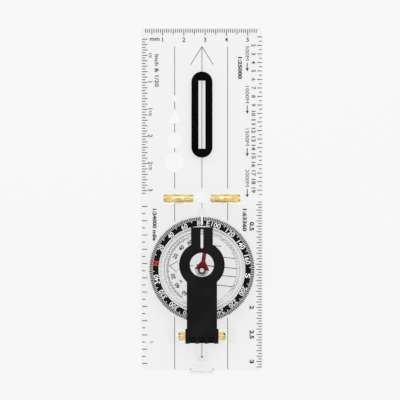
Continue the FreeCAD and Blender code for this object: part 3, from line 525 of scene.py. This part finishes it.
NORTH = math.radians(82.3)
BAND_INNER = 20.3
FIGURE_PITCH = 1.5
band_low, band_high = box_mm("number_band")
band_outer = (band_high.x - band_low.x) / 2
band_middle = (band_outer + BAND_INNER) / 2
band_top = band_high.z + INK_FILM
rim_top = rim_high.z + INK_FILM / 2


def on_dial(radius, bearing, north=NORTH):
    """The (x, y) of a point on the dial, bearing in degrees clockwise from its north. north
    is in radians, anticlockwise from straight ahead."""
    angle = north - math.radians(bearing)
    return (dial_middle.x - radius * math.sin(angle), dial_middle.y + radius * math.cos(angle))


def dial_mark(ink, bearing, inner, outer, width, height, north=NORTH):
    """A printed bar along a radius of the dial."""
    stroke(ink, on_dial(inner, bearing, north), on_dial(outer, bearing, north), width, height)


# Stamping foil: white and red films with a soft gloss, a little patchy at the edges.
white_foil = matt_ink("white_stamping_foil", "#ffffff", "#ececea", 0.8, 0.4)
red_foil = matt_ink("red_stamping_foil", "#c4221a", "#a41a14", 0.8, 0.4)
coat(white_foil, "index_line")

figures = bmesh.new()
for bearing in range(20, 360, 20):
    if bearing == 180:
        continue
    words = str(bearing)
    lettering(figures, words, on_dial(band_middle, bearing), 2.3, NORTH - math.radians(bearing),
              span=FIGURE_PITCH * len(words) - 0.15, height=band_top, bold=0.008)
for words, bearing, span in (("E", 90, 1.5), ("S", 180, 2.2), ("W", 270, 2.6)):
    lettering(figures, words, on_dial(band_middle, bearing), 2.35, NORTH - math.radians(bearing),
              span=span, height=band_top, bold=0.01)
for bearing in range(10, 360, 20):
    if bearing % 90:
        dial_mark(figures, bearing, band_outer - 0.8, band_outer - 0.1, 0.25, band_top)
printed("dial_figures", figures, white_foil, "dial")

north_mark = bmesh.new()
lettering(north_mark, "N", on_dial(band_middle, 0), 2.5, NORTH, height=band_top, bold=0.06)
dial_mark(north_mark, 0, rim_radius - 2.2, rim_radius - 1.0, 0.9, rim_top)
printed("north_figure", north_mark, red_foil, "dial")

degree_comb = bmesh.new()
for bearing in range(2, 360, 2):
    reach = 1.45 if bearing % 10 else 1.6
    dial_mark(degree_comb, bearing, band_outer + 0.1, band_outer + reach, 0.6, rim_top)
printed("degree_comb", degree_comb, black_ink, "dial")


# ---------------------------------------------------------------------------------------
# Capsule. Two clear mouldings sealed on a silicone ring hold the needle. A printed film on
# the floor carries the orienting arrow, the meridian lines and the declination scale.

# The capsule's dome and floor are acrylic too, moulded and so a touch greyer than sheet.
moulded_acrylic = clear_plastic("moulded_acrylic", "#fefefe", 1.49, (0.0, 0.02), 9, glint=0.4)
coat_clear(moulded_acrylic, "capsule_cover", "capsule_base")

# Polyester film is slightly milky. Its index of 1.57 counts as 1.08 here, because it lies in
# the capsule's damping oil and so hardly glints.
polyester_film = clear_plastic("polyester_film", "#fefefe", 1.08, (0.0, 0.03), 6, glint=0.4)
coat_clear(polyester_film, "scale_disc")

# Silicone rubber, translucent grey-white, soft and waxy.
silicone = moulded_plastic("cast_silicone", "#e4e6e6", "#d6d8d8", (0.45, 0.6), 0.5, 0.003)
coat(silicone, "capsule_seal")

SET_NORTH = math.radians(84.0)
MERIDIAN_WIDTH = 0.32
ARROW_HEAD = 15.2
ARROW_NECK = 11.6
ARC_RADIUS = 16.7
ARC_SPAN = 60
TICK_RADIUS = 16.6
FIGURE_RADIUS = 13.9
LETTER_RADIUS = 11.3
film_top = box_mm("scale_disc")[1].z + INK_FILM
ahead = Vector((-math.sin(SET_NORTH), math.cos(SET_NORTH)))
aside = Vector((ahead.y, -ahead.x))
capsule_ink = bmesh.new()


def on_film(across, along):
    """The (x, y) of a point on the film, millimetres east of its middle and north of it."""
    return dial_middle.xy + aside * across + ahead * along


def film_line(start, end, width):
    """A line on the film from start to end, each (across, along)."""
    stroke(capsule_ink, on_film(*start), on_film(*end), width, film_top)


# Meridian lines east and west of the middle, then the orienting arrow between them.
for across, reach in ((1.95, 16.9), (6.65, 15.6), (11.6, 7.8)):
    head = 2.0 if across < 2 else reach - 9.0
    for side in (-1, 1):
        film_line((side * across, -reach), (side * across, head), MERIDIAN_WIDTH)
for side in (-1, 1):
    film_line((0, ARROW_HEAD), (side * 2.6, ARROW_NECK), 0.28)
    film_line((side * 1.4, ARROW_NECK), (side * 1.4, 3.0), 0.2)

# The declination scale, west and east of north.
for bearing in range(-ARC_SPAN, ARC_SPAN, 2):
    stroke(capsule_ink, on_dial(ARC_RADIUS, bearing, SET_NORTH),
           on_dial(ARC_RADIUS, bearing + 2, SET_NORTH), 0.4, film_top)
for bearing in range(-ARC_SPAN, ARC_SPAN + 1, 2):
    reach = 0.9 if bearing % 10 else 1.3
    dial_mark(capsule_ink, bearing, TICK_RADIUS - reach, TICK_RADIUS, 0.26, film_top, SET_NORTH)
for bearing in (-60, -40, -20, 20, 40, 60):
    lettering(capsule_ink, str(abs(bearing)), on_dial(FIGURE_RADIUS, bearing, SET_NORTH), 2.0,
              SET_NORTH - math.radians(bearing), height=film_top, bold=0.03)
for words, bearing in (("W", -36), ("E", 36)):
    lettering(capsule_ink, words, on_dial(LETTER_RADIUS, bearing, SET_NORTH), 1.2,
              SET_NORTH - math.radians(bearing), height=film_top)
printed("capsule_scale", capsule_ink, black_ink, "dial")


# ---------------------------------------------------------------------------------------
# Needle. A blade stamped from magnet steel, painted red to the north and white to the
# south, on a black hub with a jewel that turns on a steel point.

NEEDLE_TURN = math.radians(-8.5)
RED_FROM = 0.2

# Sprayed enamel, red and white, with a slight orange peel. Under oil it hardly shines.
needle_finish, tree = new_finish("needle_enamel")
place = add_node(tree, "TexCoord")
from_pivot = add_node(tree, "VectorMath", {
    0: place.outputs["Object"], 1: Vector((0, dial_middle.y, 0)) * MM}, operation="SUBTRACT")
north_part = add_node(tree, "VectorMath", {
    0: from_pivot.outputs[0], 1: (-math.sin(NEEDLE_TURN), math.cos(NEEDLE_TURN), 0)},
    operation="DOT_PRODUCT")
is_north = add_node(tree, "Math", {
    0: north_part.outputs["Value"], 1: RED_FROM * MM}, operation="GREATER_THAN")
ripple = add_node(tree, "TexNoise", {
    "Vector": place.outputs["Object"], "Scale": 1 / (0.7 * MM), "Detail": 2.0})
red = add_node(tree, "Mix", {
    "Factor": ripple.outputs[0], "A": from_srgb("#9a0303"), "B": from_srgb("#740202")},
    data_type="RGBA")
white = add_node(tree, "Mix", {
    "Factor": ripple.outputs[0], "A": from_srgb("#f6f6f2"), "B": from_srgb("#dedede")},
    data_type="RGBA")
paint = add_node(tree, "Mix", {
    "Factor": is_north.outputs[0], "A": white.outputs["Result"], "B": red.outputs["Result"]},
    data_type="RGBA")
orange_peel = add_node(tree, "Bump", {
    "Height": ripple.outputs[0], "Strength": 0.2, "Distance": 0.01 * MM})
enamel = add_node(tree, "BsdfPrincipled", {
    "Base Color": paint.outputs["Result"], "Roughness": 0.45, "IOR": 1.5,
    "Specular IOR Level": 0.15, "Normal": orange_peel.outputs[0]})
add_node(tree, "OutputMaterial", {"Surface": enamel.outputs[0]})
coat(needle_finish, "needle_blade")

# The hub is black acetal, turned smooth, and the jewel a polished cup of pale agate.
coat(black_acetal, "needle_hub")
agate = moulded_plastic("polished_pale_agate", "#f0ece2", "#dcd8cc", (0.08, 0.15), 0.5, 0.001)
coat(agate, "needle_jewel")


# ---------------------------------------------------------------------------------------
# Sighting arm. Black ABS on a brass pin between the two brackets. Its ring carries a
# magnifying lens for reading the dial, held by a snap ring, and its slot sights the mark.

ARM_PIN_FILM = 0.02

# Moulded ABS with a fine sparked grain: near black, satin, greyer where it is handled.
black_abs = moulded_plastic("moulded_black_abs", "#0c0c0c", "#151515", (0.4, 0.55), 0.22, 0.01, 0.1)
coat(black_abs, "sight_arm", "lens_ring")
brass_pin("arm_pin", ARM_PIN_FILM)

# The lens is polished optical acrylic, the cleanest surface on the compass.
optical_acrylic = clear_plastic("optical_acrylic", "#fefefe", 1.49, (0.0, 0.01), 6, glint=0.06)
coat_clear(optical_acrylic, "sight_lens")


# ---------------------------------------------------------------------------------------
# Catch. A clear moulded slide at the foot of the base: its lip holds the cover shut, and it
# runs a short way under its guide until the steel stop pin meets the end of its slot.

coat_clear(moulded_acrylic, "catch_slider")


# ---------------------------------------------------------------------------------------
# Bench and light. A pale opal bench lit softly from inside, a bright tent all round with a
# small dark gap for the lens overhead, a wide softbox behind, a second for the brass, and a
# long lens straight above.

BENCH_GAP = 0.25
BENCH_HALF = 2.5
BENCH_GLOW = 0.72
BENCH_CLOUD = 200
corners = [(x * BENCH_HALF, y * BENCH_HALF, -BENCH_GAP * MM)
           for x, y in ((-1, -1), (1, -1), (1, 1), (-1, 1))]
bench_mesh = bpy.data.meshes.new("bench")
bench_mesh.from_pydata(corners, [], [(0, 1, 2, 3)])
bench = bpy.data.objects.new("bench", bench_mesh)
bpy.context.collection.objects.link(bench)

# Opal acrylic lit from inside, matt: an even pale ground, a shade cloudier in places.
bench_top, tree = new_finish("lit_opal_bench")
place = add_node(tree, "TexCoord")
cast = add_node(tree, "TexNoise", {
    "Vector": place.outputs["Object"], "Scale": 1 / (BENCH_CLOUD * MM)})
opal = add_node(tree, "Mix", {
    "Factor": cast.outputs[0], "A": from_srgb("#757575"), "B": from_srgb("#797979")},
    data_type="RGBA")
sheet = add_node(tree, "BsdfPrincipled", {
    "Base Color": opal.outputs["Result"], "Roughness": 0.9, "Specular IOR Level": 0.0,
    "Emission Color": from_srgb("#ffffff"), "Emission Strength": BENCH_GLOW})
add_node(tree, "OutputMaterial", {"Surface": sheet.outputs[0]})
bench_mesh.materials.append(bench_top)

# The gap is darkest to about 11 degrees from straight up, and ends at about 20.
TENT_BRIGHT = 0.88
GAP_BRIGHT = 0.1
GAP_RISE = (0.94, 0.98)
bpy.context.scene.view_settings.view_transform = "Standard"
world = bpy.data.worlds.new("tent")
bpy.context.scene.world = world
world.use_nodes = True
sky = world.node_tree
sky.nodes.clear()
toward = add_node(sky, "TexCoord")
parts = add_node(sky, "SeparateXYZ", {0: toward.outputs["Generated"]})
tent = add_node(sky, "MapRange", {
    "Value": parts.outputs["Z"], "From Min": GAP_RISE[0], "From Max": GAP_RISE[1],
    "To Min": TENT_BRIGHT, "To Max": GAP_BRIGHT})
glow = add_node(sky, "Background", {"Color": from_srgb("#ffffff"), "Strength": tent.outputs[0]})
add_node(sky, "OutputWorld", {"Surface": glow.outputs[0]})

LIGHT_PLACE = Vector((0.0, 0.85, 1.15))
BRASS_PINS = ("brass_hinge_pin_left", "brass_hinge_pin_right", "brass_arm_pin")


def softbox(name, side, watts):
    """A square softbox behind the compass, side metres across, turned towards it."""
    light = bpy.data.lights.new(name, "AREA")
    light.size = side
    light.energy = watts
    box = bpy.data.objects.new(name, light)
    box.location = LIGHT_PLACE
    box.rotation_euler = (-LIGHT_PLACE).to_track_quat("-Z", "Y").to_euler()
    bpy.context.collection.objects.link(box)
    return box


# The second one is flagged so that it falls on the brass pins only and makes them glint.
softbox("softbox", 1.6, 12.0)
pins = bpy.data.collections.new("brass_pins")
for name in BRASS_PINS:
    pins.objects.link(bpy.data.objects[name])
softbox("pin_softbox", 1.0, 18.0).light_linking.receiver_collection = pins

FRAME_WIDTH = 188.0
FRAME_MIDDLE = (-0.9, 0.22)
LENS = 250.0
SENSOR = 36.0
camera_data = bpy.data.cameras.new("camera")
camera_data.lens = LENS
camera_data.sensor_width = SENSOR
camera = bpy.data.objects.new("camera", camera_data)
camera.location = Vector((*FRAME_MIDDLE, FRAME_WIDTH * LENS / SENSOR)) * MM
bpy.context.collection.objects.link(camera)
bpy.context.scene.camera = camera
